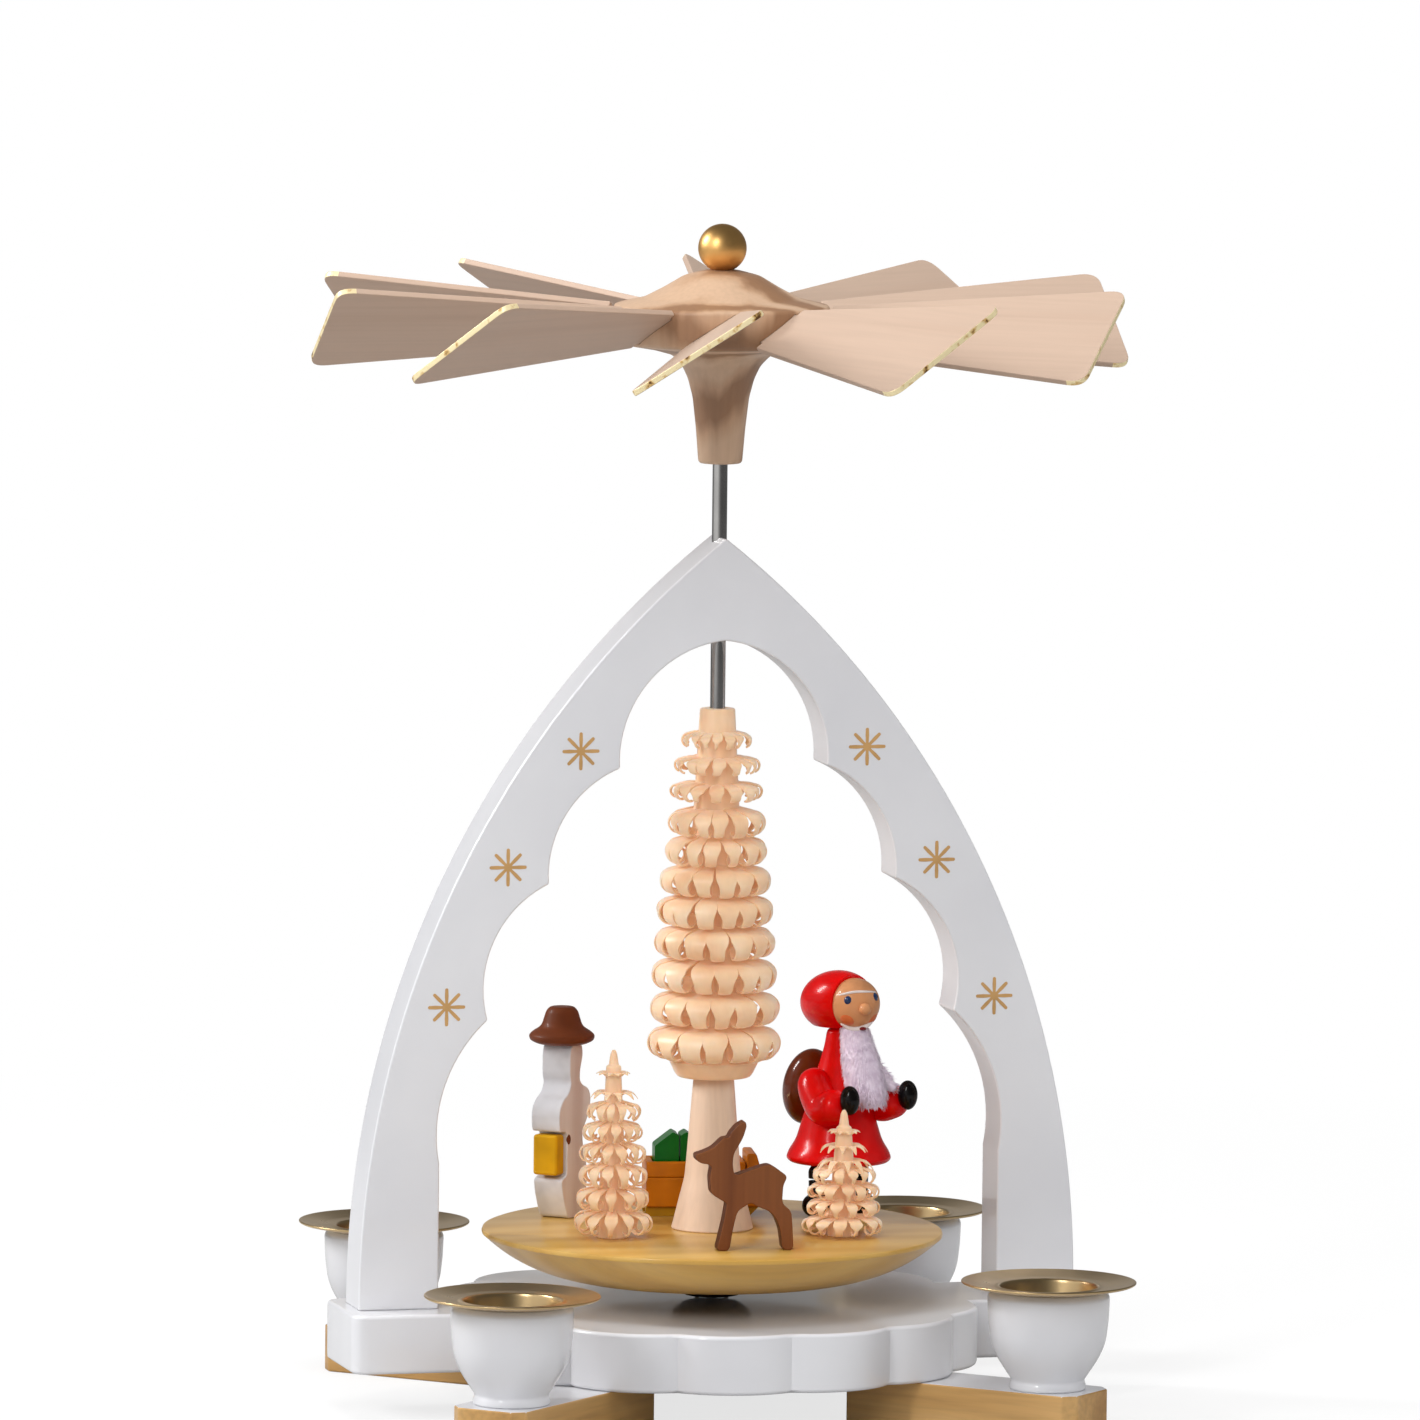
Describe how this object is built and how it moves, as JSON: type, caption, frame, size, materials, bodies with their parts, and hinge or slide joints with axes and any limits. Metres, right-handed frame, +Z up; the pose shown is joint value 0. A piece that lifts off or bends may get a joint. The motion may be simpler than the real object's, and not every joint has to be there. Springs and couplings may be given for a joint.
{
  "type": "christmas pyramid",
  "caption": "Candle-driven table pyramid: a wheel of slanted wings turns a rod with a curled tree and figures inside a lobed pointed arch on a scalloped base with candle cups.",
  "frame": {"origin": "on the surface it stands on, under the middle of the rod", "axes": "+Z up along the rod, the arch spans along X, the deer side faces -Y"},
  "size_m": [0.185, 0.1836, 0.269],
  "materials": {
    "white_paint": "satin white paint on wood",
    "bronze_leg": "gold-bronze stained wood",
    "ochre_disc": "satin golden wood",
    "pale_wood": "bare planed wood",
    "shaved_wood": "bare curled shavings",
    "brass": "dull brass",
    "steel": "drawn steel",
    "gold": "polished gold",
    "deer_brown": "stained wood",
    "hat_brown": "satin brown paint",
    "whitewash": "thin white paint on wood",
    "yellow_paint": "satin yellow paint",
    "runner_ochre": "satin ochre paint",
    "orange_paint": "satin orange paint",
    "green_paint": "satin green paint",
    "red_paint": "glossy red enamel on wood",
    "skin_paint": "satin paint",
    "beard": "white plush",
    "sack_brown": "glossy brown enamel on wood",
    "black_paint": "glossy black enamel on wood"
  },
  "bodies": {
    "stand": {"base_plate": "white_paint", "leg_front_left": "bronze_leg", "leg_front_right": "bronze_leg", "leg_back_left": "bronze_leg", "leg_back_right": "bronze_leg", "arch": "white_paint", "guide_bush": "brass", "bearing_cup": "brass", "candle_cup_front_left": "white_paint", "candle_cup_front_right": "white_paint", "candle_cup_back_left": "white_paint", "candle_cup_back_right": "white_paint"},
    "rotor": {"spindle": "steel", "turntable": "ochre_disc", "tree_trunk": "pale_wood", "tree_crown": "shaved_wood", "small_tree_left": "shaved_wood", "small_tree_right": "shaved_wood", "deer": "deer_brown", "sleigh_body": "orange_paint", "sleigh_rail": "orange_paint", "sleigh_runner_inner": "runner_ochre", "sleigh_runner_outer": "runner_ochre", "sleigh_parcel_1": "green_paint", "sleigh_parcel_2": "green_paint", "snowman_body": "whitewash", "snowman_hat": "hat_brown", "snowman_pack": "yellow_paint", "santa_coat": "red_paint", "santa_head": "skin_paint", "santa_nose": "skin_paint", "santa_hood": "red_paint", "santa_beard": "beard", "santa_sack": "sack_brown", "santa_arm_left": "red_paint", "santa_arm_right": "red_paint", "santa_mitten_left": "black_paint", "santa_mitten_right": "black_paint", "santa_boot_left": "black_paint", "santa_boot_right": "black_paint", "wing_hub": "pale_wood", "wing_blade_01": "pale_wood", "wing_blade_02": "pale_wood", "wing_blade_03": "pale_wood", "wing_blade_04": "pale_wood", "wing_blade_05": "pale_wood", "wing_blade_06": "pale_wood", "wing_blade_07": "pale_wood", "wing_blade_08": "pale_wood", "wing_blade_09": "pale_wood", "wing_blade_10": "pale_wood", "finial_ball": "gold"},
    "tray_front_left": {"drip_tray_front_left": "brass"},
    "tray_front_right": {"drip_tray_front_right": "brass"},
    "tray_back_left": {"drip_tray_back_left": "brass"},
    "tray_back_right": {"drip_tray_back_right": "brass"}
  },
  "joints": [
    {"name": "rotor_spin", "type": "hinge", "parent": "stand", "child": "rotor", "pos_m": [0, 0, 0.0219], "axis": [0, 0, 1], "continuous": true},
    {"name": "tray_lift_front_left", "type": "slide", "parent": "stand", "child": "tray_front_left", "axis": [0, 0, 1], "range_m": [0, 0.02]},
    {"name": "tray_lift_front_right", "type": "slide", "parent": "stand", "child": "tray_front_right", "axis": [0, 0, 1], "range_m": [0, 0.02]},
    {"name": "tray_lift_back_left", "type": "slide", "parent": "stand", "child": "tray_back_left", "axis": [0, 0, 1], "range_m": [0, 0.02]},
    {"name": "tray_lift_back_right", "type": "slide", "parent": "stand", "child": "tray_back_right", "axis": [0, 0, 1], "range_m": [0, 0.02]}
  ]
}
